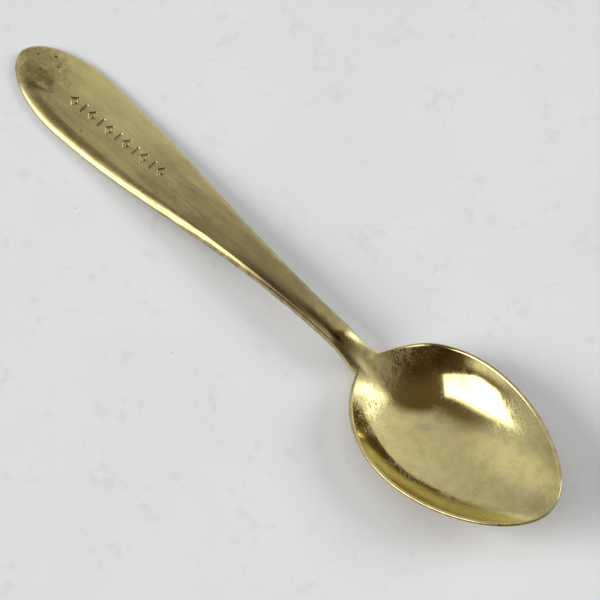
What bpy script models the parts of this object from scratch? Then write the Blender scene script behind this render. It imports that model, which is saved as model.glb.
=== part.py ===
"""Souvenir spoon, stamped in one piece from brass sheet.

Units are metres, +Z is up. The spoon lies along X with the bowl's tip at +X. It is the same on both
sides of the plane Y = 0, apart from the stamped row, which is slightly askew. The origin is under the
middle of its length, on the surface that the spoon rests on. Positions along the spoon are measured
from the free end of the handle.
"""

import math

import bmesh
import bpy
import numpy as np

MM = 0.001

# Lengths along the spoon
LENGTH = 120 * MM
HANDLE_END_LENGTH = 14.6 * MM  # the handle's end is half an ellipse this long
TAPER_START = 11.5 * MM
TAPER_END = 74.0 * MM
BOWL_START = 80.5 * MM

# Half widths
HANDLE_HALF_WIDTH = 6.6 * MM
NECK_HALF_WIDTH = 2.0 * MM
BOWL_HALF_WIDTH = 12.97 * MM
NECK_FILLET = 1.8 * MM
FILLET_START = 74.5 * MM
HANDLE_FADE = 10 * MM  # the handle's outline fades out over this length past the bowl's start

# Outline of the bowl: t ** SHOULDER * sqrt(1 - t) * (1 - TIP_TAPER * t), with t from 0 to 1
BOWL_SHOULDER = 0.59
BOWL_TIP_TAPER = 0.37
BOWL_WIDEST = 0.442  # the t at which that outline is widest

# Heights of the top edge
HANDLE_END_HEIGHT = 1.5 * MM
ARCH_START = 12 * MM
ARCH_END = 68 * MM
ARCH_RISE = 4.0 * MM
RIM_RISE_START = 72 * MM
RIM_RISE = 5.4 * MM
RIM_RISE_POWER = 2.14

# Dip of the top edge where the neck runs down into the bowl: its start, lowest point and end
NECK_DIP = 1.7 * MM
DIP_START = 73.6 * MM
DIP_LOWEST = 79.8 * MM
DIP_END = 86.5 * MM

# The handle's top is slightly crowned, more so along the neck, and the crown fades out into the bowl
HANDLE_CROWN = 0.25 * MM
NECK_CROWN = 0.5 * MM
CROWN_CHANGE_START = 55 * MM
CROWN_CHANGE_END = 72 * MM
CROWN_FADE_START = 78.5 * MM
CROWN_FADE_END = 84 * MM

# Thickness of the metal at the edge
HANDLE_THICKNESS = 1.5 * MM
NECK_THICKNESS = 1.9 * MM
RIM_THICKNESS = 0.6 * MM

# Where the edge changes from the handle end's form to the neck's, and from the neck's to the rim's
NECK_CHANGE_START = 15 * MM
RIM_CHANGE_START = 78.5 * MM
RIM_CHANGE_END = 92.5 * MM

# Rounding of the edges: how far it reaches in from the side
HANDLE_SHOULDER = 2.4 * MM
NECK_SHOULDER = 0.22 * MM
RIM_ROUND = 0.22 * MM
RIM_LAND = 0.5 * MM  # narrow flat top of the bowl's rim, with its rounded edge
EDGE_ROUNDNESS = 1.4  # 2 gives a quarter ellipse, 1 gives a straight bevel

# How far the rounding drops down the side: a share of its reach and a little more, but no further
# than a share of the thickness at the top and at the bottom
DROP_SHARE = 0.6
LEAST_DROP = 0.1 * MM
TOP_DROP_LIMIT = 0.45
BOTTOM_DROP_LIMIT = 0.4

# The bowl's hollow and the metal under it
HOLLOW_DEPTH = 5.6 * MM
FLOOR_THICKNESS = 0.8 * MM
HOLLOW_ROUNDNESS = 0.35  # 0 gives a parabola, more gives steeper walls and a flatter floor
HOLLOW_START = 75.8 * MM
HOLLOW_DEEPEST = 93 * MM

# Towards the neck the hollow narrows to a rounded crease
CREASE = 0.3
CREASE_END = 95 * MM

# Row of stamped marks on the handle, lozenges and upright bars in turn, set slightly askew
MARK_COUNT = 11
MARK_PITCH = 1.97 * MM
MARK_HEIGHT = 2.1 * MM
LOZENGE_WIDTH = 1.7 * MM
BAR_HEIGHT = 1.8 * MM
STROKE = 0.36 * MM
STAMP_DEPTH = 0.12 * MM
ROW_CENTRE = (23.3 * MM, -0.05 * MM)
ROW_ANGLE = math.radians(2.0)

# Mesh density
OUTLINE_STEPS = 74
EDGE_STEPS = 3
FACE_STEPS = 9
CLOSER_AT_NECK = 1.5  # added to the density of 1, over about this length on each side of the neck
CLOSER_LENGTH = 5 * MM
LEAST_LENGTH = 0.002 * MM  # shorter edges are merged
FURTHEST_INSET = 0.9  # a ring stays this share of the way from the outline to the spine
SMOOTH_ANGLE = math.radians(50)

BRASS_COLOUR = (0.52, 0.44, 0.17, 1.0)
BRASS_ROUGHNESS = 0.28


def clear_scene():
    for obj in list(bpy.data.objects):
        bpy.data.objects.remove(obj, do_unlink=True)


def smooth_step(t):
    t = np.clip(t, 0, 1)
    return t * t * (3 - 2 * t)


def cosine_ramp(t):
    return 0.5 - 0.5 * np.cos(math.pi * np.clip(t, 0, 1))


def handle_half_width(x):
    """Widest near the free end, then an even taper to the neck."""
    taper = cosine_ramp((x - TAPER_START) / (TAPER_END - TAPER_START))
    width = HANDLE_HALF_WIDTH + (NECK_HALF_WIDTH - HANDLE_HALF_WIDTH) * taper
    from_ellipse_centre = np.clip(1 - x / HANDLE_END_LENGTH, 0, 1)
    return width * np.sqrt(1 - from_ellipse_centre**2)


def bowl_shape(t):
    return t**BOWL_SHOULDER * np.sqrt(1 - t) * (1 - BOWL_TIP_TAPER * t)


BOWL_SHAPE_PEAK = bowl_shape(np.linspace(0, 1, 1001)).max()


def bowl_half_width(x):
    t = np.clip((x - BOWL_START) / (LENGTH - BOWL_START), 0, 1)
    return BOWL_HALF_WIDTH / BOWL_SHAPE_PEAK * bowl_shape(t)


def half_width(x):
    """The wider of handle and bowl, with a fillet where they meet."""
    fade = 1 - smooth_step((x - BOWL_START) / HANDLE_FADE)
    handle = handle_half_width(x) * fade
    bowl = bowl_half_width(x)
    fillet = NECK_FILLET * fade * smooth_step((x - FILLET_START) / (BOWL_START - FILLET_START))
    return 0.5 * (handle + bowl + np.sqrt((handle - bowl) ** 2 + fillet**2))


def out_of_dip(x):
    return smooth_step((x - DIP_LOWEST) / (DIP_END - DIP_LOWEST))


def edge_height(x):
    """Height of the top edge: flat, arched to the neck, down into the dip and up to the bowl's tip."""
    arch = ARCH_RISE * cosine_ramp((x - ARCH_START) / (ARCH_END - ARCH_START))
    along_rim = np.clip((x - RIM_RISE_START) / (LENGTH - RIM_RISE_START), 0, 1)
    into_dip = smooth_step((x - DIP_START) / (DIP_LOWEST - DIP_START))
    dip = NECK_DIP * into_dip * (1 - out_of_dip(x))
    return HANDLE_END_HEIGHT + arch + RIM_RISE * along_rim**RIM_RISE_POWER - dip


def along_spoon(x, at_end, at_neck, at_rim):
    """A size that changes from the handle's end to the neck, and again to the bowl's rim."""
    to_neck = smooth_step((x - NECK_CHANGE_START) / (TAPER_END - NECK_CHANGE_START))
    to_rim = smooth_step((x - RIM_CHANGE_START) / (RIM_CHANGE_END - RIM_CHANGE_START))
    handle = at_end + (at_neck - at_end) * to_neck
    return handle + (at_rim - handle) * to_rim


def edge_thickness(x):
    return along_spoon(x, HANDLE_THICKNESS, NECK_THICKNESS, RIM_THICKNESS)


def edge_rounding(x):
    """(reach in from the side, drop from the top) of the top edge's rounding."""
    reach = along_spoon(x, HANDLE_SHOULDER, NECK_SHOULDER, RIM_ROUND)
    drop = np.minimum(TOP_DROP_LIMIT * edge_thickness(x), DROP_SHARE * reach + LEAST_DROP)
    return reach, drop


def rounded(share, room):
    """A share of the depth, pushed towards a flat floor and steep walls where there is room."""
    return share * (1 + HOLLOW_ROUNDNESS * room) / (1 + HOLLOW_ROUNDNESS * room * share)


def dish(x, y, inset):
    """0 at a line this far inside the outline, about 1 at the deepest point of the bowl."""
    inner = np.maximum(half_width(x) - inset, LEAST_LENGTH)
    room = np.minimum(inner / (BOWL_HALF_WIDTH - inset), 1) ** 2
    from_axis = np.clip(np.abs(y) / inner, 0, 1)
    bowl = rounded(1 - from_axis**2, room)
    crease = 1 - (np.hypot(from_axis, CREASE) - CREASE) / (math.hypot(1, CREASE) - CREASE)
    at_neck = 1 - smooth_step((x - BOWL_START) / (CREASE_END - BOWL_START))
    dip_share = NECK_DIP / HOLLOW_DEPTH
    along = cosine_ramp((x - HOLLOW_START) / (HOLLOW_DEEPEST - HOLLOW_START))
    depth = (1 - dip_share) * along * (bowl + (crease - bowl) * at_neck)
    depth += dip_share * out_of_dip(x) * (1 - from_axis**2.5)
    widest = BOWL_START + BOWL_WIDEST * (LENGTH - BOWL_START)
    return depth * np.where(x < widest, 1, rounded(room, 1))


def crown(x, y):
    """How far the rounded top stands above its edge."""
    to_neck = smooth_step((x - CROWN_CHANGE_START) / (CROWN_CHANGE_END - CROWN_CHANGE_START))
    fade = 1 - smooth_step((x - CROWN_FADE_START) / (CROWN_FADE_END - CROWN_FADE_START))
    from_axis = np.clip(y / np.maximum(half_width(x), LEAST_LENGTH), -1, 1)
    return (HANDLE_CROWN + (NECK_CROWN - HANDLE_CROWN) * to_neck) * fade * (1 - from_axis**2)


def top_height(x, y):
    return edge_height(x) + crown(x, y) - HOLLOW_DEPTH * dish(x, y, RIM_LAND)


def bottom_height(x, y):
    """The underside, flattened where it rests."""
    under = edge_height(x) - edge_thickness(x)
    depth = HOLLOW_DEPTH + FLOOR_THICKNESS - RIM_THICKNESS
    return np.maximum(under - depth * dish(x, y, RIM_ROUND), 0)


def outline_stations():
    """Positions along the spoon whose outline points are about evenly spaced, closer at the neck."""
    x = 0.5 * LENGTH * (1 - np.cos(np.linspace(0, math.pi, 4001)))
    step = np.hypot(np.diff(x), np.diff(half_width(x)))
    middle = 0.5 * (x[1:] + x[:-1])
    closer = 1 + CLOSER_AT_NECK * np.exp(-(((middle - BOWL_START) / CLOSER_LENGTH) ** 2))
    travelled = np.concatenate([[0], np.cumsum(step * closer)])
    return np.interp(np.linspace(0, travelled[-1], OUTLINE_STEPS + 1), travelled, x)


def spine_stations(x):
    """Where the outline's inward normals meet the middle line."""
    step = 0.01 * MM
    low = np.maximum(x - step, 0)
    high = np.minimum(x + step, LENGTH)
    slope_times_width = 0.5 * (half_width(high) ** 2 - half_width(low) ** 2) / (high - low)
    return np.maximum.accumulate(x + slope_times_width)


def closed_outline():
    """Outline and spine points, once round: out along +Y to the bowl's tip, back along -Y."""
    x = outline_stations()
    width = half_width(x)
    width[0] = width[-1] = 0
    spine = spine_stations(x)
    outline = np.column_stack([x, width])
    back = outline[-2:0:-1] * (1, -1)
    return np.vstack([outline, back]), np.concatenate([spine, spine[-2:0:-1]])


def ring_at(outline, spine, inset):
    """The outline moved in along its normals by this distance, at most as far as the spine."""
    middle = np.column_stack([spine, np.zeros_like(spine)])
    reach = np.linalg.norm(middle - outline, axis=1)
    share = np.minimum(inset / reach, FURTHEST_INSET)
    return outline + (middle - outline) * share[:, None]


def edge_rings(outline, spine, top):
    """Rings of the rounded edge, from the middle of the side to the flat of the top or bottom."""
    x = outline[:, 0]
    reach, drop = edge_rounding(x)
    if not top:
        drop = np.minimum(BOTTOM_DROP_LIMIT * edge_thickness(x), drop)
        reach = np.minimum(reach, drop)
    rings = []
    for angle in np.linspace(0, math.pi / 2, EDGE_STEPS + 1):
        inset = reach * (1 - max(math.cos(angle), 0) ** (2 / EDGE_ROUNDNESS))
        points = ring_at(outline, spine, inset)
        along, across = points.T
        rise = drop * (1 - math.sin(angle) ** (2 / EDGE_ROUNDNESS))
        height = top_height(along, across) - rise if top else bottom_height(along, across) + rise
        rings.append(np.column_stack([points, height]))
    return rings, reach


def face_rings(outline, spine, top):
    """Rings from the side, over the rounded edge and across the face to the spine."""
    rings, reach = edge_rings(outline, spine, top)
    height_at = top_height if top else bottom_height
    first = ring_at(outline, spine, np.maximum(reach, RIM_LAND) if top else reach)
    middle = np.column_stack([spine, np.zeros_like(spine)])
    for share in np.linspace(0, 1, FACE_STEPS + 1)[0 if top else 1 :]:
        points = first + (middle - first) * share
        rings.append(np.column_stack([points, height_at(*points.T)]))
    return rings


def face_of(mesh, verts):
    """A face through these corners, leaving out one that repeats the corner before it."""
    corners = []
    for vert in verts:
        if vert not in corners:
            corners.append(vert)
    if len(corners) > 2:
        mesh.faces.new(corners)


def bridge(mesh, outer, inner, flip):
    count = len(outer)
    for i in range(count):
        j = (i + 1) % count
        corners = [outer[i], outer[j], inner[j], inner[i]]
        face_of(mesh, corners[::-1] if flip else corners)


def loop_of(mesh, ring, on_spine):
    """Vertices of one ring. On the spine, the two sides share their vertices."""
    if not on_spine:
        return [mesh.verts.new(point) for point in ring]
    half = len(ring) // 2
    shared = [mesh.verts.new((x, 0, z)) for x, _, z in ring[: half + 1]]
    return shared + shared[-2:0:-1]


def make_spoon():
    outline, spine = closed_outline()
    mesh = bmesh.new()
    side_loops = []
    for top in (True, False):
        rings = face_rings(outline, spine, top)
        loops = [loop_of(mesh, ring, ring is rings[-1]) for ring in rings]
        for outer, inner in zip(loops, loops[1:]):
            bridge(mesh, outer, inner, flip=top)
        side_loops.append(loops[0])
    bridge(mesh, side_loops[0], side_loops[1], flip=False)
    bmesh.ops.remove_doubles(mesh, verts=mesh.verts, dist=LEAST_LENGTH)
    bmesh.ops.dissolve_degenerate(mesh, edges=mesh.edges, dist=LEAST_LENGTH)
    bmesh.ops.translate(mesh, verts=mesh.verts, vec=(-0.5 * LENGTH, 0, 0))
    bmesh.ops.triangulate(mesh, faces=mesh.faces)
    bmesh.ops.recalc_face_normals(mesh, faces=mesh.faces)
    data = bpy.data.meshes.new("spoon")
    mesh.to_mesh(data)
    mesh.free()
    spoon = bpy.data.objects.new("spoon", data)
    bpy.context.scene.collection.objects.link(spoon)
    return spoon


def lozenge(width, height):
    return np.array([(width, 0), (0, height), (-width, 0), (0, -height)]) / 2


def bar(width, height):
    return np.array([(width, height), (-width, height), (-width, -height), (width, -height)]) / 2


def mark_outlines(index):
    """Outlines of one mark: a lozenge has an outer and an inner one, a bar has one."""
    if index % 2:
        return [bar(STROKE, BAR_HEIGHT)]
    # A stroke measured square to a lozenge's side is wider along its diagonals.
    side = math.hypot(LOZENGE_WIDTH, MARK_HEIGHT)
    inner_width = LOZENGE_WIDTH - 2 * STROKE * side / MARK_HEIGHT
    inner_height = MARK_HEIGHT - 2 * STROKE * side / LOZENGE_WIDTH
    return [lozenge(LOZENGE_WIDTH, MARK_HEIGHT), lozenge(inner_width, inner_height)]


def placed_on_row(outline, index):
    along, across = outline.T + [[(index - (MARK_COUNT - 1) / 2) * MARK_PITCH], [0]]
    cos, sin = math.cos(ROW_ANGLE), math.sin(ROW_ANGLE)
    x = ROW_CENTRE[0] + along * cos - across * sin
    y = ROW_CENTRE[1] + along * sin + across * cos
    return x, y


def add_mark(mesh, index):
    """A prism from the floor of the stamped groove to above the handle's face."""
    levels = []
    for lift in (-STAMP_DEPTH, STAMP_DEPTH):
        loops = []
        for outline in mark_outlines(index):
            x, y = placed_on_row(outline, index)
            points = zip(x - 0.5 * LENGTH, y, top_height(x, y) + lift)
            loops.append([mesh.verts.new(point) for point in points])
        levels.append(loops)
    low, high = levels
    for lower, upper in zip(low, high):
        bridge(mesh, lower, upper, flip=False)
    for loops in levels:
        if len(loops) == 2:
            bridge(mesh, loops[0], loops[1], flip=False)
        else:
            mesh.faces.new(loops[0])


def stamp_marks(spoon):
    mesh = bmesh.new()
    for index in range(MARK_COUNT):
        add_mark(mesh, index)
    bmesh.ops.triangulate(mesh, faces=mesh.faces)
    bmesh.ops.recalc_face_normals(mesh, faces=mesh.faces)
    data = bpy.data.meshes.new("stamp")
    mesh.to_mesh(data)
    mesh.free()
    stamp = bpy.data.objects.new("stamp", data)
    stamp.hide_render = True
    stamp.display_type = "WIRE"
    bpy.context.scene.collection.objects.link(stamp)
    cut = spoon.modifiers.new("stamped_marks", "BOOLEAN")
    cut.operation = "DIFFERENCE"
    cut.solver = "EXACT"
    cut.object = stamp


def give_brass(obj):
    brass = bpy.data.materials.new("brass")
    brass.use_nodes = True
    shader = brass.node_tree.nodes["Principled BSDF"]
    shader.inputs["Base Color"].default_value = BRASS_COLOUR
    shader.inputs["Metallic"].default_value = 1.0
    shader.inputs["Roughness"].default_value = BRASS_ROUGHNESS
    obj.data.materials.append(brass)


def main():
    clear_scene()
    spoon = make_spoon()
    stamp_marks(spoon)
    give_brass(spoon)
    spoon.data.shade_smooth()
    spoon.data.set_sharp_from_angle(angle=SMOOTH_ANGLE)


main()
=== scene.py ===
"""Looks of the souvenir spoon: the fine surface of its one brass piece, with a plain studio.

The spoon's shape follows the same formulas as its solid. Sizes are in metres. Positions along the
spoon are measured from the free end of the handle.
"""

import functools
import math

import bpy
import numpy as np
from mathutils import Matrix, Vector


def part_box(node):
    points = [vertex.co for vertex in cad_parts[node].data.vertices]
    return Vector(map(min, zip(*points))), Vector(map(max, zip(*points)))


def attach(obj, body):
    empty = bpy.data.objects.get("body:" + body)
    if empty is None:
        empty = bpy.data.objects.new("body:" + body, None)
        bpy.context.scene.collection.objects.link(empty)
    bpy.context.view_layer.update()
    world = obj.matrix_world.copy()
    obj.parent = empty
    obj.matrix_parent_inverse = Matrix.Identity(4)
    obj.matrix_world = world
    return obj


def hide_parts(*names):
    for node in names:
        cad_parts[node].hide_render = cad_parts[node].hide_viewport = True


MM = 0.001

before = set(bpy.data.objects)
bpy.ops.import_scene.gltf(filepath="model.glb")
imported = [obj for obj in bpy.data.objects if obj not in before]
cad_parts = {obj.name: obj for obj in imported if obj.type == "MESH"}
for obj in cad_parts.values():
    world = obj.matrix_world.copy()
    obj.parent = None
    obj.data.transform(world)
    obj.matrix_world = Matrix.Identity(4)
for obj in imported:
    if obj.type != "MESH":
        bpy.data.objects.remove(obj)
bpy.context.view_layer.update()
NODE_LOW, NODE_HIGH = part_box("spoon")

# Lengths along the spoon
LENGTH = NODE_HIGH.x - NODE_LOW.x
HANDLE_END_LENGTH = 14.6 * MM
TAPER_START = 11.5 * MM
TAPER_END = 74.0 * MM
BOWL_START = 80.5 * MM

# Half widths
HANDLE_HALF_WIDTH = 6.6 * MM
NECK_HALF_WIDTH = 2.0 * MM
BOWL_HALF_WIDTH = 12.97 * MM
NECK_FILLET = 1.8 * MM
FILLET_START = 74.5 * MM
HANDLE_FADE = 10 * MM  # the handle's outline fades out over this length past the bowl's start

# Outline of the bowl: t ** SHOULDER * sqrt(1 - t) * (1 - TIP_TAPER * t), with t from 0 to 1
BOWL_SHOULDER = 0.59
BOWL_TIP_TAPER = 0.37
BOWL_WIDEST = 0.442  # the t at which that outline is widest

# Heights of the top edge
HANDLE_END_HEIGHT = 1.5 * MM
ARCH_START = 12 * MM
ARCH_END = 68 * MM
ARCH_RISE = 4.0 * MM
RIM_RISE_START = 72 * MM
RIM_RISE = 5.4 * MM
RIM_RISE_POWER = 2.14

# Dip of the top edge where the neck runs down into the bowl: its start, lowest point and end
NECK_DIP = 1.7 * MM
DIP_START = 73.6 * MM
DIP_LOWEST = 79.8 * MM
DIP_END = 86.5 * MM
DIP_FLATNESS = 2.5  # how flat the bowl is across where it climbs out of the dip: 2 is a parabola

# The handle's top is slightly crowned, more so along the neck, and the crown fades out into the
# bowl
HANDLE_CROWN = 0.25 * MM
NECK_CROWN = 0.5 * MM
CROWN_CHANGE_START = 55 * MM
CROWN_CHANGE_END = 72 * MM
CROWN_FADE_START = 78.5 * MM
CROWN_FADE_END = 84 * MM

# Thickness of the metal at the edge
HANDLE_THICKNESS = 1.5 * MM
NECK_THICKNESS = 1.9 * MM
RIM_THICKNESS = 0.6 * MM

# Where the edge changes from the handle end's form to the neck's, and from the neck's to the rim's
NECK_CHANGE_START = 15 * MM
RIM_CHANGE_START = 78.5 * MM
RIM_CHANGE_END = 92.5 * MM

# Rounding of the edges: how far it reaches in from the side
HANDLE_SHOULDER = 2.4 * MM
NECK_SHOULDER = 0.22 * MM
RIM_ROUND = 0.22 * MM
RIM_LAND = 0.5 * MM  # narrow flat top of the bowl's rim, with its rounded edge
EDGE_ROUNDNESS = 1.4  # 2 gives a quarter ellipse, 1 gives a straight bevel

# How far the rounding drops down the side: a share of its reach and a little more, but no further
# than a share of the thickness at the top and at the bottom
DROP_SHARE = 0.6
LEAST_DROP = 0.1 * MM
TOP_DROP_LIMIT = 0.45
BOTTOM_DROP_LIMIT = 0.4

# The bowl's hollow and the metal under it
HOLLOW_DEPTH = 5.6 * MM
FLOOR_THICKNESS = 0.8 * MM
HOLLOW_ROUNDNESS = 0.35  # 0 gives a parabola, more gives steeper walls and a flatter floor
HOLLOW_START = 75.8 * MM
HOLLOW_DEEPEST = 93 * MM

# Towards the neck the hollow narrows to a rounded crease
CREASE = 0.3
CREASE_END = 95 * MM

# Row of stamped marks on the handle, lozenges and upright bars in turn, set slightly askew
MARK_COUNT = 11
MARK_PITCH = 1.97 * MM
MARK_HEIGHT = 2.1 * MM
LOZENGE_WIDTH = 1.7 * MM
BAR_HEIGHT = 1.8 * MM
STROKE = 0.36 * MM
STAMP_DEPTH = 0.12 * MM
STAMP_WALL = 0.10 * MM
ROW_CENTRE = (23.3 * MM, -0.05 * MM)
ROW_ANGLE = math.radians(2.0)

# Mesh density: the stations close up along the stamped row and at the neck
STATION_COUNT = 480
OUTLINE_SAMPLES = 20001
ROW_START = 12 * MM
ROW_END = 34.5 * MM
CLOSER_ON_ROW = 3.5  # added to the density of 1
CLOSER_AT_NECK = 1.5  # the same, over about this length on each side of the neck
CLOSER_LENGTH = 5 * MM
EDGE_STEPS = 7
FACE_STEPS = 60
UNDER_STEPS = 26
SLOPE_STEP = 0.01 * MM
FURTHEST_INSET = 0.9  # a ring stays this share of the way from the outline to the spine
WELD = 0.002 * MM

POINT_PARTS = 60  # the points are worked through in this many parts, to save memory

# How far the edge's wear reaches in, and where the handle's finish changes to the bowl's
WEAR_REACH = 0.35 * MM
BOWL_FINISH_START = 78 * MM
BOWL_FINISH_END = 86 * MM

# The photographed view: azimuth 0 looks along +Y
VIEW_AZIMUTH = math.radians(45.6)
VIEW_ELEVATION = math.radians(65.0)
VIEW_DISTANCE = 0.600
VIEW_WIDTH = 0.0955  # what the frame takes in at that distance
VIEW_AIM = Vector((0.0, 0.0, 4.0 * MM))  # the frame's middle lies this far right of it and below
AIM_RIGHT = 3.83 * MM
AIM_DOWN = 3.51 * MM
SENSOR = 36.0

FLOOR_HALF_SIZE = 3.0
FLOOR_GAP = 0.02 * MM  # keeps the floor's surface from coinciding with the spoon's


def smooth_step(t):
    t = np.clip(t, 0, 1)
    return t * t * (3 - 2 * t)


def cosine_ramp(t):
    return 0.5 - 0.5 * np.cos(math.pi * np.clip(t, 0, 1))


def handle_half_width(x):
    taper = cosine_ramp((x - TAPER_START) / (TAPER_END - TAPER_START))
    width = HANDLE_HALF_WIDTH + (NECK_HALF_WIDTH - HANDLE_HALF_WIDTH) * taper
    from_ellipse_centre = np.clip(1 - x / HANDLE_END_LENGTH, 0, 1)
    return width * np.sqrt(1 - from_ellipse_centre**2)


def bowl_shape(t):
    return t**BOWL_SHOULDER * np.sqrt(1 - t) * (1 - BOWL_TIP_TAPER * t)


BOWL_SHAPE_PEAK = bowl_shape(np.linspace(0, 1, 1001)).max()


def bowl_half_width(x):
    t = np.clip((x - BOWL_START) / (LENGTH - BOWL_START), 0, 1)
    return BOWL_HALF_WIDTH / BOWL_SHAPE_PEAK * bowl_shape(t)


def half_width(x):
    fade = 1 - smooth_step((x - BOWL_START) / HANDLE_FADE)
    handle = handle_half_width(x) * fade
    bowl = bowl_half_width(x)
    fillet = NECK_FILLET * fade * smooth_step((x - FILLET_START) / (BOWL_START - FILLET_START))
    return 0.5 * (handle + bowl + np.sqrt((handle - bowl) ** 2 + fillet**2))


def rim_line(x):
    along_rim = np.clip((x - RIM_RISE_START) / (LENGTH - RIM_RISE_START), 0, 1)
    arch = ARCH_RISE * cosine_ramp((x - ARCH_START) / (ARCH_END - ARCH_START))
    return HANDLE_END_HEIGHT + arch + RIM_RISE * along_rim**RIM_RISE_POWER


def out_of_dip(x):
    return smooth_step((x - DIP_LOWEST) / (DIP_END - DIP_LOWEST))


def edge_height(x):
    into_dip = smooth_step((x - DIP_START) / (DIP_LOWEST - DIP_START))
    return rim_line(x) - NECK_DIP * into_dip * (1 - out_of_dip(x))


def along_spoon(x, at_end, at_neck, at_rim):
    """A size that changes from the handle's end to the neck, and again to the bowl's rim."""
    to_neck = smooth_step((x - NECK_CHANGE_START) / (TAPER_END - NECK_CHANGE_START))
    to_rim = smooth_step((x - RIM_CHANGE_START) / (RIM_CHANGE_END - RIM_CHANGE_START))
    handle = at_end + (at_neck - at_end) * to_neck
    return handle + (at_rim - handle) * to_rim


def edge_thickness(x):
    return along_spoon(x, HANDLE_THICKNESS, NECK_THICKNESS, RIM_THICKNESS)


def edge_rounding(x):
    """(reach in from the side, drop from the top) of the top edge's rounding."""
    reach = along_spoon(x, HANDLE_SHOULDER, NECK_SHOULDER, RIM_ROUND)
    drop = np.minimum(TOP_DROP_LIMIT * edge_thickness(x), DROP_SHARE * reach + LEAST_DROP)
    return reach, drop


def rounded(share, room):
    """A share of the depth, pushed towards a flat floor and steep walls where there is room."""
    return share * (1 + HOLLOW_ROUNDNESS * room) / (1 + HOLLOW_ROUNDNESS * room * share)


def dish(x, y, inset):
    """Depth of the hollow at a point, from 0 to 1."""
    inner = np.maximum(half_width(x) - inset, WELD)
    room = np.minimum(inner / (BOWL_HALF_WIDTH - inset), 1) ** 2
    from_axis = np.clip(np.abs(y) / inner, 0, 1)
    bowl = rounded(1 - from_axis**2, room)
    crease = 1 - (np.hypot(from_axis, CREASE) - CREASE) / (math.hypot(1, CREASE) - CREASE)
    at_neck = 1 - smooth_step((x - BOWL_START) / (CREASE_END - BOWL_START))
    dip_share = NECK_DIP / HOLLOW_DEPTH
    along = cosine_ramp((x - HOLLOW_START) / (HOLLOW_DEEPEST - HOLLOW_START))
    depth = (1 - dip_share) * along * (bowl + (crease - bowl) * at_neck)
    depth += dip_share * out_of_dip(x) * (1 - from_axis**DIP_FLATNESS)
    widest = BOWL_START + BOWL_WIDEST * (LENGTH - BOWL_START)
    return depth * np.where(x < widest, 1, rounded(room, 1))


def crown(x, y):
    """How far the rounded top stands above its edge."""
    to_neck = smooth_step((x - CROWN_CHANGE_START) / (CROWN_CHANGE_END - CROWN_CHANGE_START))
    fade = 1 - smooth_step((x - CROWN_FADE_START) / (CROWN_FADE_END - CROWN_FADE_START))
    from_axis = np.clip(y / np.maximum(half_width(x), WELD), -1, 1)
    return (HANDLE_CROWN + (NECK_CROWN - HANDLE_CROWN) * to_neck) * fade * (1 - from_axis**2)


def stamped(x, y):
    """How deep the row of marks is pressed in, from 0 to 1, with sloping walls."""
    cos, sin = math.cos(ROW_ANGLE), math.sin(ROW_ANGLE)
    from_x, from_y = x - ROW_CENTRE[0], y - ROW_CENTRE[1]
    along = from_x * cos + from_y * sin
    across = -from_x * sin + from_y * cos
    index = np.round(along / MARK_PITCH)
    local = along - index * MARK_PITCH
    in_row = np.abs(index) <= (MARK_COUNT - 1) / 2
    is_bar = (index + (MARK_COUNT - 1) / 2) % 2 == 1
    diagonals = math.hypot(LOZENGE_WIDTH, MARK_HEIGHT)
    from_middle = (np.abs(local) * MARK_HEIGHT + np.abs(across) * LOZENGE_WIDTH) / diagonals
    from_outline = from_middle - 0.5 * LOZENGE_WIDTH * MARK_HEIGHT / diagonals
    lozenge_gap = np.abs(from_outline + 0.5 * STROKE) - 0.5 * STROKE
    bar_gap = np.maximum(np.abs(local) - 0.5 * STROKE, np.abs(across) - 0.5 * BAR_HEIGHT)
    gap = np.where(is_bar, bar_gap, lozenge_gap)
    return np.where(in_row, smooth_step(0.5 - gap / STAMP_WALL), 0)


def top_height(x, y):
    pressed = HOLLOW_DEPTH * dish(x, y, RIM_LAND) + STAMP_DEPTH * stamped(x, y)
    return edge_height(x) + crown(x, y) - pressed


def bottom_height(x, y):
    under = edge_height(x) - edge_thickness(x)
    depth = HOLLOW_DEPTH + FLOOR_THICKNESS - RIM_THICKNESS
    return np.maximum(under - depth * dish(x, y, RIM_ROUND), 0)


def outline_stations():
    """Places along the spoon where the outline gets a point."""
    x = 0.5 * LENGTH * (1 - np.cos(np.linspace(0, math.pi, OUTLINE_SAMPLES)))
    step = np.hypot(np.diff(x), np.diff(half_width(x)))
    middle = 0.5 * (x[1:] + x[:-1])
    on_row = smooth_step((middle - ROW_START) / MM) * smooth_step((ROW_END - middle) / MM)
    at_neck = np.exp(-(((middle - BOWL_START) / CLOSER_LENGTH) ** 2))
    closer = 1 + CLOSER_ON_ROW * on_row + CLOSER_AT_NECK * at_neck
    travelled = np.concatenate([[0], np.cumsum(step * closer)])
    return np.interp(np.linspace(0, travelled[-1], STATION_COUNT + 1), travelled, x)


def spine_stations(x):
    """Where a line square to the outline at each station meets the spoon's axis."""
    low = np.maximum(x - SLOPE_STEP, 0)
    high = np.minimum(x + SLOPE_STEP, LENGTH)
    slope_times_width = 0.5 * (half_width(high) ** 2 - half_width(low) ** 2) / (high - low)
    return np.maximum.accumulate(x + slope_times_width)


def closed_outline():
    """The outline's points all the way round, and each one's place on the axis."""
    x = outline_stations()
    width = half_width(x)
    width[0] = width[-1] = 0
    spine = spine_stations(x)
    outline = np.column_stack([x, width])
    back = outline[-2:0:-1] * (1, -1)
    return np.vstack([outline, back]), np.concatenate([spine, spine[-2:0:-1]])


def ring_at(outline, spine, inset):
    """The outline moved in towards the axis."""
    middle = np.column_stack([spine, np.zeros_like(spine)])
    reach = np.linalg.norm(middle - outline, axis=1)
    share = np.minimum(inset / reach, FURTHEST_INSET)
    return outline + (middle - outline) * share[:, None]


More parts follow.
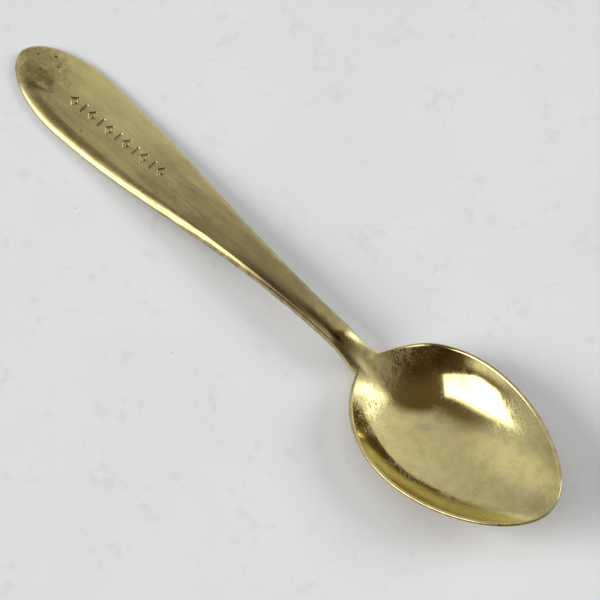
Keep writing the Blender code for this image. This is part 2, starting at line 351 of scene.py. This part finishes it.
def edge_rings(outline, spine, top):
    x = outline[:, 0]
    reach, drop = edge_rounding(x)
    if not top:
        drop = np.minimum(BOTTOM_DROP_LIMIT * edge_thickness(x), drop)
        reach = np.minimum(reach, drop)
    rings = []
    for angle in np.linspace(0, math.pi / 2, EDGE_STEPS + 1):
        inset = reach * (1 - max(math.cos(angle), 0) ** (2 / EDGE_ROUNDNESS))
        points = ring_at(outline, spine, inset)
        along, across = points.T
        rise = drop * (1 - math.sin(angle) ** (2 / EDGE_ROUNDNESS))
        if top:
            height = top_height(along, across) - rise
        else:
            height = bottom_height(along, across) + rise
        rings.append(np.column_stack([points, height]))
    return rings, reach


def face_rings(outline, spine, top):
    rings, reach = edge_rings(outline, spine, top)
    height_at = top_height if top else bottom_height
    first = ring_at(outline, spine, np.maximum(reach, RIM_LAND) if top else reach)
    middle = np.column_stack([spine, np.zeros_like(spine)])
    steps = FACE_STEPS if top else UNDER_STEPS
    for share in np.linspace(0, 1, steps + 1)[0 if top else 1 :]:
        points = first + (middle - first) * share
        rings.append(np.column_stack([points, height_at(*points.T)]))
    return rings


def quads_between(outer, inner, count, flip):
    """Faces between two rings whose points start at these indices."""
    i = np.arange(count)
    j = (i + 1) % count
    quads = np.column_stack([outer + i, outer + j, inner + j, inner + i])
    return quads[:, ::-1] if flip else quads


def welded(points, quads):
    """Points that coincide made one, and the faces that collapse with them dropped."""
    keys = np.round(points / WELD).astype(np.int64)
    _, first, index = np.unique(keys, axis=0, return_index=True, return_inverse=True)
    faces = []
    for quad in index.reshape(-1)[quads]:
        corners = list(dict.fromkeys(quad.tolist()))
        if len(corners) > 2:
            faces.append(corners)
    return points[first], faces


def make_spoon():
    outline, spine = closed_outline()
    count = len(outline)
    rings, quads, side_starts = [], [], []
    for top in (True, False):
        side_starts.append(len(rings) * count)
        rings += face_rings(outline, spine, top)
        for start in range(side_starts[-1], (len(rings) - 1) * count, count):
            quads.append(quads_between(start, start + count, count, top))
    quads.append(quads_between(*side_starts, count, False))
    points, faces = welded(np.vstack(rings), np.vstack(quads))
    points[:, 0] += NODE_LOW.x
    points[:, 1] *= min(1, NODE_HIGH.y / points[:, 1].max())
    points[:, 2] *= min(1, NODE_HIGH.z / points[:, 2].max())
    mesh = bpy.data.meshes.new("spoon_metal")
    mesh.from_pydata(points.tolist(), [], faces)
    mesh.update()
    mesh.shade_smooth()
    store_places(mesh, points, outline)
    obj = bpy.data.objects.new("spoon_metal", mesh)
    bpy.context.scene.collection.objects.link(obj)
    return obj


def store_places(mesh, points, outline):
    """For the material, how much each vertex is near an edge, in the bowl and in a mark."""
    x, y = points[:, 0] - NODE_LOW.x, points[:, 1]
    corners = outline[: len(outline) // 2 + 1]
    from_edge = np.full(len(points), 1.0)
    for part in np.array_split(np.arange(len(points)), POINT_PARTS):
        gap_x = x[part, None] - corners[None, :, 0]
        gap_y = np.abs(y[part, None]) - corners[None, :, 1]
        from_edge[part] = np.sqrt((gap_x**2 + gap_y**2).min(axis=1))
    near_edge = np.exp(-from_edge / WEAR_REACH)
    in_bowl = smooth_step((x - BOWL_FINISH_START) / (BOWL_FINISH_END - BOWL_FINISH_START))
    rgba = np.column_stack([near_edge, in_bowl, stamped(x, y), np.ones(len(points))])
    layer = mesh.color_attributes.new("places", "FLOAT_COLOR", "POINT")
    layer.data.foreach_set("color", rgba.astype(np.float32).ravel())


def make_floor():
    size = FLOOR_HALF_SIZE
    mesh = bpy.data.meshes.new("floor")
    corners = [(-size, -size, 0), (size, -size, 0), (size, size, 0), (-size, size, 0)]
    mesh.from_pydata(corners, [], [(0, 1, 2, 3)])
    floor = bpy.data.objects.new("floor", mesh)
    floor.location.z = -FLOOR_GAP
    bpy.context.scene.collection.objects.link(floor)
    return floor


class Nodes:
    """Short calls that add shader nodes to one tree."""

    def __init__(self, tree):
        self.tree = tree

    def put(self, kind, inputs=(), **settings):
        node = self.tree.nodes.new(kind)
        for name, value in settings.items():
            setattr(node, name, value)
        for key, value in dict(inputs).items():
            if isinstance(value, bpy.types.NodeSocket):
                self.tree.links.new(value, node.inputs[key])
            else:
                node.inputs[key].default_value = value
        return node

    def math(self, operation, a, b=0.0, c=0.0):
        return self.put("ShaderNodeMath", {0: a, 1: b, 2: c}, operation=operation).outputs[0]

    def times(self, *factors):
        result = factors[0]
        for factor in factors[1:]:
            result = self.math("MULTIPLY", result, factor)
        return result

    def most(self, *values):
        result = values[0]
        for value in values[1:]:
            result = self.math("MAXIMUM", result, value)
        return result

    def add(self, value, share, amount=1.0):
        """The value with this share of an amount added."""
        return self.math("MULTIPLY_ADD", share, amount, value)

    def vary(self, value, noise, amount):
        """The value moved up and down by a noise, half the amount each way at most."""
        return self.add(value, self.math("SUBTRACT", noise, 0.5), amount)

    def rest(self, share):
        return self.math("SUBTRACT", 1.0, share)

    def hypot(self, a, b):
        return self.math("SQRT", self.math("ADD", self.times(a, a), self.times(b, b)))

    def ramp(self, value, low, high, out_low=0.0, out_high=1.0):
        """A smooth change from out_low to out_high as the value goes from low to high."""
        inputs = {"Value": value, "From Min": low, "From Max": high}
        inputs |= {"To Min": out_low, "To Max": out_high}
        return self.put("ShaderNodeMapRange", inputs, interpolation_type="SMOOTHSTEP").outputs[0]

    def within(self, value, start, full, still_full, end):
        """1 between two soft edges, 0 outside them."""
        return self.times(self.ramp(value, start, full), self.ramp(value, end, still_full))

    def mix(self, share, a, b):
        inputs = {0: share, 6: a, 7: b}
        return self.put("ShaderNodeMix", inputs, data_type="RGBA").outputs[2]

    def scaled(self, vector, factor):
        inputs = {0: vector, 3: factor}
        return self.put("ShaderNodeVectorMath", inputs, operation="SCALE").outputs[0]


NOISE_ROUGHNESS = 0.55
SEED_SLOPE = 1.7  # a seed moves the noise this much further across than along
BLOT_CORE = 0.35  # a blot is full within this share of its radius


class Surface(Nodes):
    """Node calls that work in millimetres along (x) and across (y) the spoon."""

    def __init__(self, tree):
        super().__init__(tree)
        place = self.put("ShaderNodeTexCoord").outputs["Object"]
        inputs = {0: self.scaled(place, 1 / MM), 1: (-NODE_LOW.x / MM, 0, 0)}
        self.place = self.put("ShaderNodeVectorMath", inputs).outputs[0]
        self.x, self.y, _ = self.put("ShaderNodeSeparateXYZ", {0: self.place}).outputs

    @functools.cached_property
    def raggedness(self):
        return self.noise(*RAGGED_NOISE)

    def noise(self, scale, along=1.0, across=1.0, detail=3.0, seed=0.0, turn=0.0):
        """Noise of this many waves per millimetre, stretched where along or across is small."""
        rotation = (0, 0, math.radians(turn))
        turned = self.put("ShaderNodeMapping", {"Vector": self.place, "Rotation": rotation})
        inputs = {
            "Vector": turned.outputs[0],
            "Scale": (along, across, 1),
            "Location": (seed, seed * SEED_SLOPE, 0),
        }
        moved = self.put("ShaderNodeMapping", inputs).outputs[0]
        inputs = {"Vector": moved, "Scale": scale, "Detail": detail, "Roughness": NOISE_ROUGHNESS}
        return self.put("ShaderNodeTexNoise", inputs).outputs[0]

    def cells(self, scale):
        """Distance from the nearest of a sparse scatter of points, as a share of their spacing."""
        inputs = {"Vector": self.place, "Scale": scale}
        return self.put("ShaderNodeTexVoronoi", inputs, feature="F1").outputs["Distance"]

    def blot(self, x, y, size_x, size_y, ragged=0.8, turn=0.0):
        """1 in the middle of a ragged spot, 0 away from it. The sizes are its half axes."""
        cos, sin = math.cos(math.radians(turn)), math.sin(math.radians(turn))
        from_x = self.math("SUBTRACT", self.x, x)
        from_y = self.math("SUBTRACT", self.y, y)
        along = self.add(self.times(from_x, cos / size_x), from_y, sin / size_x)
        across = self.add(self.times(from_y, cos / size_y), from_x, -sin / size_y)
        radius = self.vary(self.hypot(along, across), self.raggedness, ragged * 2)
        return self.ramp(radius, 1.0, BLOT_CORE)

    def lines(self, turn, spacing, length, low, high, seed):
        """Fine straight scratches in one direction, where a stretched noise is high."""
        value = self.noise(1.0, 1 / length, 1 / spacing, 0.0, seed, turn)
        return self.ramp(value, low, high)

    def bump(self, height, distance, strength=1.0):
        inputs = {"Height": height, "Strength": strength, "Distance": distance}
        return self.put("ShaderNodeBump", inputs).outputs[0]


CLEAN_BRASS = (0.790, 0.705, 0.310, 1)
TARNISHED_BRASS = (0.330, 0.270, 0.130, 1)
OCHRE_BRASS = (0.760, 0.610, 0.300, 1)
WORN_BRASS = (0.880, 0.820, 0.520, 1)
BROWN_SPOT = (0.200, 0.130, 0.045, 1)
GREEN_SPOT = (0.190, 0.230, 0.085, 1)
DARK_GREEN = (0.090, 0.105, 0.035, 1)
BLACK_PIT = (0.030, 0.028, 0.018, 1)
RIM_BROWN = (0.300, 0.215, 0.100, 1)
# Painted shade: the dark brown laid on the near half of the neck
PAINTED_NECK_SHADE_COLOUR = (0.085, 0.062, 0.028, 1)
SCRATCH = (0.700, 0.690, 0.500, 1)
SMUDGE = (0.330, 0.320, 0.330, 1)

# Noises on the brass: waves per millimetre, shares of them along and across, detail, seed
RAGGED_NOISE = (0.9, 1, 1, 5, 0)
NOISES = {
    "streak": (1.0, 0.06, 4.0, 4, 3.1),
    "broad_streak": (1.0, 0.035, 0.75, 3, 7.7),
    "grain": (2.4, 0.5, 1.0, 4, 2.7),
    "cloud": (0.30, 0.6, 1.3, 5, 1.3),
    "mottle": (0.55, 1, 1, 6, 5.2),
    "speckle": (2.6, 1, 1, 3, 9.4),
    "vein": (0.35, 1, 1, 3, 7.1),
    "ochre": (0.24, 1, 1, 5, 3.9),
    "pit_size": (0.21, 1, 1, 1, 2.2),
    "patchy": (0.6, 1, 1, 4, 4.4),
    "scratched": (0.16, 1, 1, 2, 6.6),
    "dust": (3.2, 1, 1, 2, 0.7),
    "waves": (0.22, 1, 1, 2, 8.8),
    "ripple": (0.8, 1, 1, 2, 5.9),
}

# Where these noises start to count and count in full
OCHRE_LEVELS = (0.40, 0.68)
PATCHY_LEVELS = (0.35, 0.65)
SCRATCHED_LEVELS = (0.42, 0.62)
DUST_LEVELS = (0.63, 0.73)

# How much the surface faces up where it starts to count as the top, and where it is the top
TOP_FACING = (-0.1, 0.4)
# The painted shade on the neck's near half: how much the surface faces up where it starts and where
# it is full
PAINTED_NECK_SHADE_FACING = (0.25, 0.55)

# The tarnish film goes from 0, clean, to 1, full. It grows along the handle, and some is lost again
# at the neck and across the handle: each has its span in millimetres and the amount at both ends.
FILM_ALONG = (14, 58, 0.44, 0.94)
FILM_LOST_AT_NECK = (66, 80, 0.0, 0.50)
FILM_LOST_ACROSS = (-2.5, 4.5, -0.08, 0.16)
UNDERSIDE_FILM = 0.45
BOWL_FILM_LEVEL = 0.10
VEIN_WIDTH = 0.03
VEIN_FILM = 0.12

# How far each noise moves the film
HANDLE_FILM = {"broad_streak": 0.35, "streak": 0.60, "cloud": 0.9, "grain": 0.35}
BOWL_FILM = {"mottle": 1.0, "speckle": 0.65}

# Clouds of tarnish in the bowl: place, half sizes and raggedness, and how much film each adds
BOWL_CLOUDS = (
    ((92.5, 8.6, 5.5, 2.6), 0.25),
    ((117.0, 1.0, 3.0, 4.0, 1.0), 0.22),
)

# Stains: place, half sizes, raggedness and turn, then strength, colour, and whether the grain
# breaks it up
STAINS = (
    ((4.0, 0.3, 7.5, 5.5, 0.8), 0.52, BROWN_SPOT, True),
    ((6.4, -0.9, 2.6, 1.5, 0.9), 0.60, BROWN_SPOT, True),
    ((4.0, -1.6, 2.6, 1.1, 0.9), 0.60, GREEN_SPOT, True),
    ((6.9, -3.0, 3.0, 0.75, 0.7, 12), 0.90, DARK_GREEN, True),
    ((71.0, -0.7, 5.0, 1.2, 1.0), 0.55, BROWN_SPOT, True),
    ((74.0, -0.9, 2.2, 0.45, 1.3), 0.70, BLACK_PIT, False),
    ((88.5, 9.2, 9.0, 2.2, 0.9), 0.45, BROWN_SPOT, True),
    ((94.0, -0.3, 2.6, 0.9, 0.9, 40), 0.35, SMUDGE, False),
    ((111.0, -6.0, 7.0, 1.6, 1.0, 20), 0.30, BROWN_SPOT, True),
)

# The larger dark pits: place along and across the spoon, and half length, in millimetres
PITS = (
    (5.0, -0.4, 0.34),
    (6.8, 1.9, 0.26),
    (2.7, 1.3, 0.30),
    (6.0, 0.7, 0.20),
    (5.1, 3.0, 0.42),
    (18.1, -3.5, 0.20),
)
PIT_WIDTH = 0.7  # as a share of its length
PIT_RAGGEDNESS = 0.6
PIT_TURN = 40  # degrees for each millimetre along, so that the pits don't lie alike

# The scattered ones: how many per millimetre, how their radius follows its noise, how soft their
# edge is, and the radius at which they start to show. Distances are shares of their spacing.
PIT_DENSITY = 0.42
PIT_RADIUS = (0.45, 0.72, 0.0, 0.07)
PIT_EDGE = (0.03, -0.02)
PIT_SHOWS = (0.01, 0.05)

# Strengths of colours laid over the brass
OCHRE_STRENGTH = 0.45
PIT_STRENGTH = 0.8
MARK_GRIME = 0.45
SCRATCH_STRENGTH = 0.20
BOWL_WEAR = 0.12
HANDLE_EXTRA_WEAR = 0.35

# How a noise breaks them up: its range, and the strength at both ends
STAIN_BREAK_UP = (0.25, 0.7, 0.55, 1.0)
# The last one breaks up the painted shade on the neck's near half
PAINTED_NECK_SHADE_BREAK_UP = (0.2, 0.7, 0.98, 0.85)
RIM_GRIME = (0.0, 1.0, 1.0, 0.6)

# Scratches: direction in degrees, spacing and length in millimetres, the noise's levels, seed
CROSSING_SCRATCHES = (
    (33, 0.17, 24.0, 0.56, 0.70, 1.0),
    (-24, 0.19, 24.0, 0.58, 0.72, 2.0),
    (12, 0.15, 24.0, 0.58, 0.72, 3.0),
    (62, 0.20, 24.0, 0.58, 0.72, 5.0),
)
LENGTHWISE_SCRATCHES = (0, 0.16, 9.0, 0.5, 0.75, 8.0)

# Where finishes begin, are full, start to fade, and end, in millimetres along or across the spoon
NECK_SCRATCHED = (74, 79, 84, 91)
# Painted shade on the neck's near half: its span along the spoon, then where it starts and is full
# across it
PAINTED_NECK_SHADE_SPAN = (50, 63, 79, 84)
PAINTED_NECK_SHADE_SIDE = (-0.7, -1.7)
NECK_ROUGH = (74, 78, 82, 86)
HAZE_ALONG = (76, 80, 81, 91)
HAZE_ACROSS = (-3.2, -0.5, 1.0, 4.2)

ROUGH_ALONG = (66, 86, 0.225, 0.095)  # the span, and the roughness at both ends
STREAK_ROUGH = 0.22
MOTTLE_ROUGH = 0.10
LEAST_ROUGH = 0.05
MOST_ROUGH = 0.6
MICRON = 0.001 * MM


def tarnish(n, noise, in_bowl, on_handle, on_top):
    """The film of tarnish: streaky and thicker towards the neck, mottled in the bowl."""
    film = n.ramp(n.x, *FILM_ALONG)
    film = n.math("SUBTRACT", film, n.ramp(n.x, *FILM_LOST_AT_NECK))
    for name, amount in HANDLE_FILM.items():
        film = n.vary(film, noise[name], amount)
    film = n.math("SUBTRACT", film, n.ramp(n.y, *FILM_LOST_ACROSS))
    film = n.most(n.times(film, on_handle), n.times(n.rest(on_top), UNDERSIDE_FILM))

    in_hollow = BOWL_FILM_LEVEL
    for name, amount in BOWL_FILM.items():
        in_hollow = n.vary(in_hollow, noise[name], amount)
    from_vein = n.math("ABSOLUTE", n.math("SUBTRACT", noise["vein"], 0.5))
    in_hollow = n.add(in_hollow, n.ramp(from_vein, VEIN_WIDTH, 0.0), VEIN_FILM)
    for blot, amount in BOWL_CLOUDS:
        in_hollow = n.add(in_hollow, n.blot(*blot), amount)
    return n.put("ShaderNodeClamp", {0: n.add(film, in_hollow, in_bowl)}).outputs[0]


def pitting(n, noise):
    """1 in a pit: a few placed ones, and a sparse scatter."""
    radius = n.ramp(noise["pit_size"], *PIT_RADIUS)
    pit = n.ramp(n.math("SUBTRACT", n.cells(PIT_DENSITY), radius), *PIT_EDGE)
    pit = n.times(pit, n.ramp(radius, *PIT_SHOWS))
    for x, y, size in PITS:
        blot = n.blot(x, y, size, size * PIT_WIDTH, PIT_RAGGEDNESS, PIT_TURN * x)
        pit = n.most(pit, blot)
    return pit


def brass_material():
    mat = bpy.data.materials.new("brass")
    mat.use_nodes = True
    n = Surface(mat.node_tree)
    shader = mat.node_tree.nodes["Principled BSDF"]
    noise = {name: n.noise(*values) for name, values in NOISES.items()}
    places = n.put("ShaderNodeAttribute", attribute_name="places").outputs["Color"]
    near_edge, in_bowl, in_mark = n.put("ShaderNodeSeparateColor", {0: places}).outputs
    on_handle = n.rest(in_bowl)
    normal = n.put("ShaderNodeNewGeometry").outputs["Normal"]
    up = n.put("ShaderNodeSeparateXYZ", {0: normal}).outputs[2]
    on_top = n.ramp(up, *TOP_FACING)

    # Tarnish, with stains on the handle's end, at the neck and in the bowl
    film = tarnish(n, noise, in_bowl, on_handle, on_top)
    colour = n.mix(film, CLEAN_BRASS, TARNISHED_BRASS)
    ochre = n.times(n.ramp(noise["ochre"], *OCHRE_LEVELS), in_bowl, OCHRE_STRENGTH)
    colour = n.mix(ochre, colour, OCHRE_BRASS)
    broken = n.ramp(noise["grain"], *STAIN_BREAK_UP)
    for blot, strength, stain, is_broken in STAINS:
        share = n.times(n.blot(*blot), on_top, strength)
        colour = n.mix(n.times(share, broken) if is_broken else share, colour, stain)
    pit = pitting(n, noise)
    colour = n.mix(n.times(pit, on_top, PIT_STRENGTH), colour, BLACK_PIT)

    # Grime left in the marks and along the rim, and edges worn bright
    colour = n.mix(n.times(in_mark, MARK_GRIME), colour, TARNISHED_BRASS)
    patchy = n.ramp(noise["patchy"], *PATCHY_LEVELS)
    grimy = n.times(near_edge, in_bowl, n.ramp(patchy, *RIM_GRIME))
    colour = n.mix(grimy, colour, RIM_BROWN)
    worn = n.times(near_edge, patchy, n.add(BOWL_WEAR, on_handle, HANDLE_EXTRA_WEAR))
    colour = n.mix(worn, colour, WORN_BRASS)

    # Scratches: crossing in the bowl and at the neck, lengthwise on the handle
    at_neck = n.within(n.x, *NECK_SCRATCHED)
    scratched = n.most(n.ramp(noise["scratched"], *SCRATCHED_LEVELS), at_neck)
    crossing = n.most(*(n.lines(*values) for values in CROSSING_SCRATCHES))
    crossing = n.times(crossing, scratched, n.most(in_bowl, at_neck))
    lengthwise = n.times(n.lines(*LENGTHWISE_SCRATCHES), on_handle)
    colour = n.mix(n.times(crossing, on_top, SCRATCH_STRENGTH), colour, SCRATCH)

    # Painted shade: a dark brown laid on the near half of the neck, darker than the shape's own
    # reflection makes it there
    painted_neck_shade = n.times(n.within(n.x, *PAINTED_NECK_SHADE_SPAN), n.ramp(n.y, *PAINTED_NECK_SHADE_SIDE))
    painted_neck_shade_share = n.times(painted_neck_shade, n.ramp(up, *PAINTED_NECK_SHADE_FACING))
    painted_neck_shade_share = n.times(painted_neck_shade_share, n.ramp(noise["grain"], *PAINTED_NECK_SHADE_BREAK_UP))
    colour = n.mix(painted_neck_shade_share, colour, PAINTED_NECK_SHADE_COLOUR)

    # Roughness, which falls towards the polished bowl
    haze = n.times(n.within(n.x, *HAZE_ALONG), n.within(n.y, *HAZE_ACROSS))
    dust = n.times(n.ramp(noise["dust"], *DUST_LEVELS), in_bowl)
    rough = n.ramp(n.x, *ROUGH_ALONG)
    rough = n.vary(rough, noise["streak"], n.times(on_handle, STREAK_ROUGH))
    rough = n.vary(rough, noise["mottle"], MOTTLE_ROUGH)
    for share, amount in (
        (n.within(n.x, *NECK_ROUGH), 0.12),
        (haze, 0.24),
        # the painted shade on the neck's near half is rougher as well
        (painted_neck_shade, 0.20),
        (dust, 0.14),
        (crossing, 0.13),
        (pit, 0.30),
        (in_mark, 0.08),
        (n.rest(on_top), 0.08),
    ):
        rough = n.add(rough, share, amount)
    rough = n.put("ShaderNodeClamp", {0: rough, 1: LEAST_ROUGH, 2: MOST_ROUGH}).outputs[0]

    # Relief, in microns
    relief = 0.0
    for share, amount in (
        (noise["waves"], 22.0),
        (noise["ripple"], 3.5),
        (n.times(noise["streak"], on_handle), 2.0),
        (crossing, -0.8),
        (lengthwise, -0.8),
        (pit, -6.0),
    ):
        relief = n.add(relief, share, amount)

    shader.inputs["Metallic"].default_value = 1.0
    n.tree.links.new(colour, shader.inputs["Base Color"])
    n.tree.links.new(rough, shader.inputs["Roughness"])
    n.tree.links.new(n.bump(relief, MICRON), shader.inputs["Normal"])
    return mat


PAPER = (0.735, 0.742, 0.755, 1)
PALE_PAPER = (0.765, 0.768, 0.778, 1)
SCUFF_GREY = (0.42, 0.42, 0.41, 1)
SPECK_BROWN = (0.30, 0.28, 0.25, 1)
PAPER_ROUGHNESS = 0.85
FIBRE_HEIGHT = 0.05 * MM
FIBRE_STRENGTH = 0.25

# Noises on the paper, as on the brass
PAPER_NOISES = {
    "cloud": (0.03, 1, 1, 4, 3.3),
    "fibre": (0.5, 1, 1, 5, 1.1),
    "scuffed": (0.12, 1, 1, 2, 6.1),
    "specked": (0.05, 1, 1, 1, 4.9),
    "relief": (0.7, 1, 1, 4, 0),
}
CLOUD_LEVELS = (0.3, 0.7)
SCUFF_LEVELS = (0.30, 0.42)
SCUFF_STRENGTH = 0.14
SPECK_DENSITY = 0.16
SPECK_EDGE = (0.035, 0.012)
SPECKED_LEVELS = (0.5, 0.6)
SPECK_STRENGTH = 0.6


def floor_material():
    """Pale paper with faint clouds, grey scuffs and a few brown specks."""
    mat = bpy.data.materials.new("paper")
    mat.use_nodes = True
    n = Surface(mat.node_tree)
    shader = mat.node_tree.nodes["Principled BSDF"]
    noise = {name: n.noise(*values) for name, values in PAPER_NOISES.items()}
    colour = n.mix(n.ramp(noise["cloud"], *CLOUD_LEVELS), PAPER, PALE_PAPER)
    scuff = n.ramp(n.times(noise["fibre"], noise["scuffed"]), *SCUFF_LEVELS)
    colour = n.mix(n.times(scuff, SCUFF_STRENGTH), colour, SCUFF_GREY)
    speck = n.ramp(n.cells(SPECK_DENSITY), *SPECK_EDGE)
    speck = n.times(speck, n.ramp(noise["specked"], *SPECKED_LEVELS))
    colour = n.mix(n.times(speck, SPECK_STRENGTH), colour, SPECK_BROWN)
    shader.inputs["Roughness"].default_value = PAPER_ROUGHNESS
    n.tree.links.new(colour, shader.inputs["Base Color"])
    relief = n.bump(noise["relief"], FIBRE_HEIGHT, FIBRE_STRENGTH)
    n.tree.links.new(relief, shader.inputs["Normal"])
    return mat


# Lights for the floor: azimuth and elevation in degrees, strength, width in degrees, colour
LIGHTS = {
    "left_light": (-125, 32, 2.45, 34, (1.0, 0.99, 0.975)),
    "right_light": (55, 35, 1.35, 30, (0.975, 0.98, 1.0)),
    "overhead_light": (0, 90, 0.90, 60, (1.0, 1.0, 1.0)),
}


def make_light(name, azimuth, elevation, strength, width, colour):
    """A large, soft, distant light for the floor. The metal shows the room instead."""
    data = bpy.data.lights.new(name, "SUN")
    data.energy = strength
    data.angle = math.radians(width)
    data.color = colour
    light = bpy.data.objects.new(name, data)
    turn, tilt = math.radians(azimuth), math.radians(elevation)
    level = math.cos(tilt)
    towards = Vector((math.cos(turn) * level, math.sin(turn) * level, math.sin(tilt)))
    light.rotation_mode = "QUATERNION"
    light.rotation_quaternion = towards.to_track_quat("Z", "Y")
    light.location = towards
    light.visible_glossy = False
    light.visible_camera = False
    bpy.context.scene.collection.objects.link(light)


def make_camera():
    level = math.cos(VIEW_ELEVATION)
    back = Vector((
        math.sin(VIEW_AZIMUTH) * level,
        -math.cos(VIEW_AZIMUTH) * level,
        math.sin(VIEW_ELEVATION),
    ))
    right = Vector((math.cos(VIEW_AZIMUTH), math.sin(VIEW_AZIMUTH), 0))
    up = back.cross(right)
    data = bpy.data.cameras.new("camera")
    data.sensor_width = SENSOR
    data.lens = SENSOR * VIEW_DISTANCE / VIEW_WIDTH
    camera = bpy.data.objects.new("camera", data)
    aim = VIEW_AIM + right * AIM_RIGHT - up * AIM_DOWN
    camera.location = aim + back * VIEW_DISTANCE
    camera.rotation_mode = "QUATERNION"
    camera.rotation_quaternion = (-back).to_track_quat("-Z", "Y")
    bpy.context.scene.collection.objects.link(camera)
    bpy.context.scene.camera = camera


# The room that the metal reflects, on a map of the sky in degrees from the zenith: x towards +X,
# y towards +Y. A pale wall in front, the dark room behind the camera, and two windows.
LEFT_WINDOW = [(-53, -38), (-34, -60), (-18, -62), (-1, -54), (9, -45), (-13, -23)]
RIGHT_WINDOW = [(16, 28), (30, 55), (38, 84), (19, 84), (15.5, 57)]
LEFT_WINDOW_LIGHT = (4.2, 4.137, 3.99, 1)
RIGHT_WINDOW_LIGHT = (4.2, 4.3, 4.5, 1)
WINDOW_SOFTNESS = 1.5
LEFT_WINDOW_LAST_SOFTNESS = 6

# The wall brightens along a slope across the map, and around one place on it
WALL_COLOUR = (1.0, 0.985, 0.97)
WALL_SLOPE = (0.8, 0.5)
WALL_RANGE = (-70, 60, 0.41, 0.78)
GLOW_CENTRE = (-62, -6)
GLOW_RANGE = (38, 6, 0.0, 0.30)

# The dark room lies beyond this edge. It is darkest in one corner, and pale at its two sides and
# low down. Each change has its span on the map's x or y.
DARK_EDGE = [(22, 48), (-18, 8)]
DARK_EDGE_SOFTNESS = 9
DARKEST_X, DARKEST_Y = (5, 25), (0, -30)
RIGHT_SIDE_X = (30, 52)
LEFT_SIDE_X = (-20, -58)
LOW_X, LOW_Y = (8, -12), (-64, -74)
DARK_COLOUR = (0.120, 0.082, 0.045, 1)
DARKEST_COLOUR = (0.055, 0.030, 0.012, 1)
RIGHT_SIDE_COLOUR = (0.46, 0.45, 0.44, 1)
LOW_COLOUR = (0.95, 0.93, 0.90, 1)
LEFT_SIDE_STRENGTH = 0.50

BACKDROP_COLOUR = (0.735, 0.740, 0.750, 1)
LEAST_LEVEL = 0.001  # keeps the map from dividing by zero at the zenith


def from_edge(n, x, y, edge):
    """Degrees inside a straight edge, which runs between two points of the sky's map."""
    (x0, y0), (x1, y1) = edge
    length = math.hypot(x1 - x0, y1 - y0)
    across_x, across_y = -(y1 - y0) / length, (x1 - x0) / length
    sum_x = n.math("MULTIPLY_ADD", x, across_x, -(across_x * x0 + across_y * y0))
    return n.add(sum_x, y, across_y)


def window(n, x, y, corners, last_softness):
    """1 inside a straight-sided light, whose corners go round counterclockwise.

    The edge from the last corner to the first has its own softness.
    """
    edges = zip(corners, corners[1:] + corners[:1])
    softness = [WINDOW_SOFTNESS] * (len(corners) - 1) + [last_softness]
    return n.times(*(
        n.ramp(from_edge(n, x, y, edge), -soft, soft) for edge, soft in zip(edges, softness)
    ))


def make_world():
    """The room, which only the metal shows. The camera sees a plain backdrop in its place."""
    world = bpy.data.worlds.new("studio")
    world.use_nodes = True
    tree = world.node_tree
    tree.nodes.clear()
    n = Nodes(tree)
    direction = n.put("ShaderNodeTexCoord").outputs["Generated"]
    towards_x, towards_y, towards_z = n.put("ShaderNodeSeparateXYZ", {0: direction}).outputs
    from_zenith = n.math("MULTIPLY", n.math("ARCCOSINE", towards_z), 180 / math.pi)
    level = n.math("MAXIMUM", n.hypot(towards_x, towards_y), LEAST_LEVEL)
    scale = n.math("DIVIDE", from_zenith, level)
    x, y = n.times(towards_x, scale), n.times(towards_y, scale)

    # The wall in front
    along_slope = n.add(n.times(y, WALL_SLOPE[1]), x, WALL_SLOPE[0])
    glow_x = n.math("SUBTRACT", x, GLOW_CENTRE[0])
    glow_y = n.math("SUBTRACT", y, GLOW_CENTRE[1])
    glow = n.ramp(n.hypot(glow_x, glow_y), *GLOW_RANGE)
    wall = n.scaled(WALL_COLOUR, n.add(glow, n.ramp(along_slope, *WALL_RANGE)))

    # The dark room behind the camera
    darkest = n.times(n.ramp(x, *DARKEST_X), n.ramp(y, *DARKEST_Y))
    dark = n.mix(darkest, DARK_COLOUR, DARKEST_COLOUR)
    dark = n.mix(n.ramp(x, *RIGHT_SIDE_X), dark, RIGHT_SIDE_COLOUR)
    dark = n.mix(n.times(n.ramp(x, *LOW_X), n.ramp(y, *LOW_Y)), dark, LOW_COLOUR)
    left_side = n.scaled(WALL_COLOUR, n.math("ADD", glow, LEFT_SIDE_STRENGTH))
    dark = n.mix(n.ramp(x, *LEFT_SIDE_X), dark, left_side)
    behind = n.ramp(from_edge(n, x, y, DARK_EDGE), -DARK_EDGE_SOFTNESS, DARK_EDGE_SOFTNESS)

    room = n.mix(behind, wall, dark)
    left_window = window(n, x, y, LEFT_WINDOW, LEFT_WINDOW_LAST_SOFTNESS)
    room = n.mix(left_window, room, LEFT_WINDOW_LIGHT)
    right_window = window(n, x, y, RIGHT_WINDOW, WINDOW_SOFTNESS)
    room = n.mix(right_window, room, RIGHT_WINDOW_LIGHT)
    seen = n.put("ShaderNodeLightPath").outputs["Is Camera Ray"]
    colour = n.mix(seen, room, BACKDROP_COLOUR)
    background = n.put("ShaderNodeBackground", {"Color": colour, "Strength": 1.0})
    output = n.put("ShaderNodeOutputWorld")
    tree.links.new(background.outputs[0], output.inputs["Surface"])
    bpy.context.scene.world = world
    world.cycles_visibility.diffuse = False


make_camera()
make_world()
for name, values in LIGHTS.items():
    make_light(name, *values)
bpy.context.scene.view_settings.view_transform = "Standard"
spoon = make_spoon()
spoon.data.materials.append(brass_material())
floor = make_floor()
floor.data.materials.append(floor_material())
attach(spoon, "root")
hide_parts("spoon")
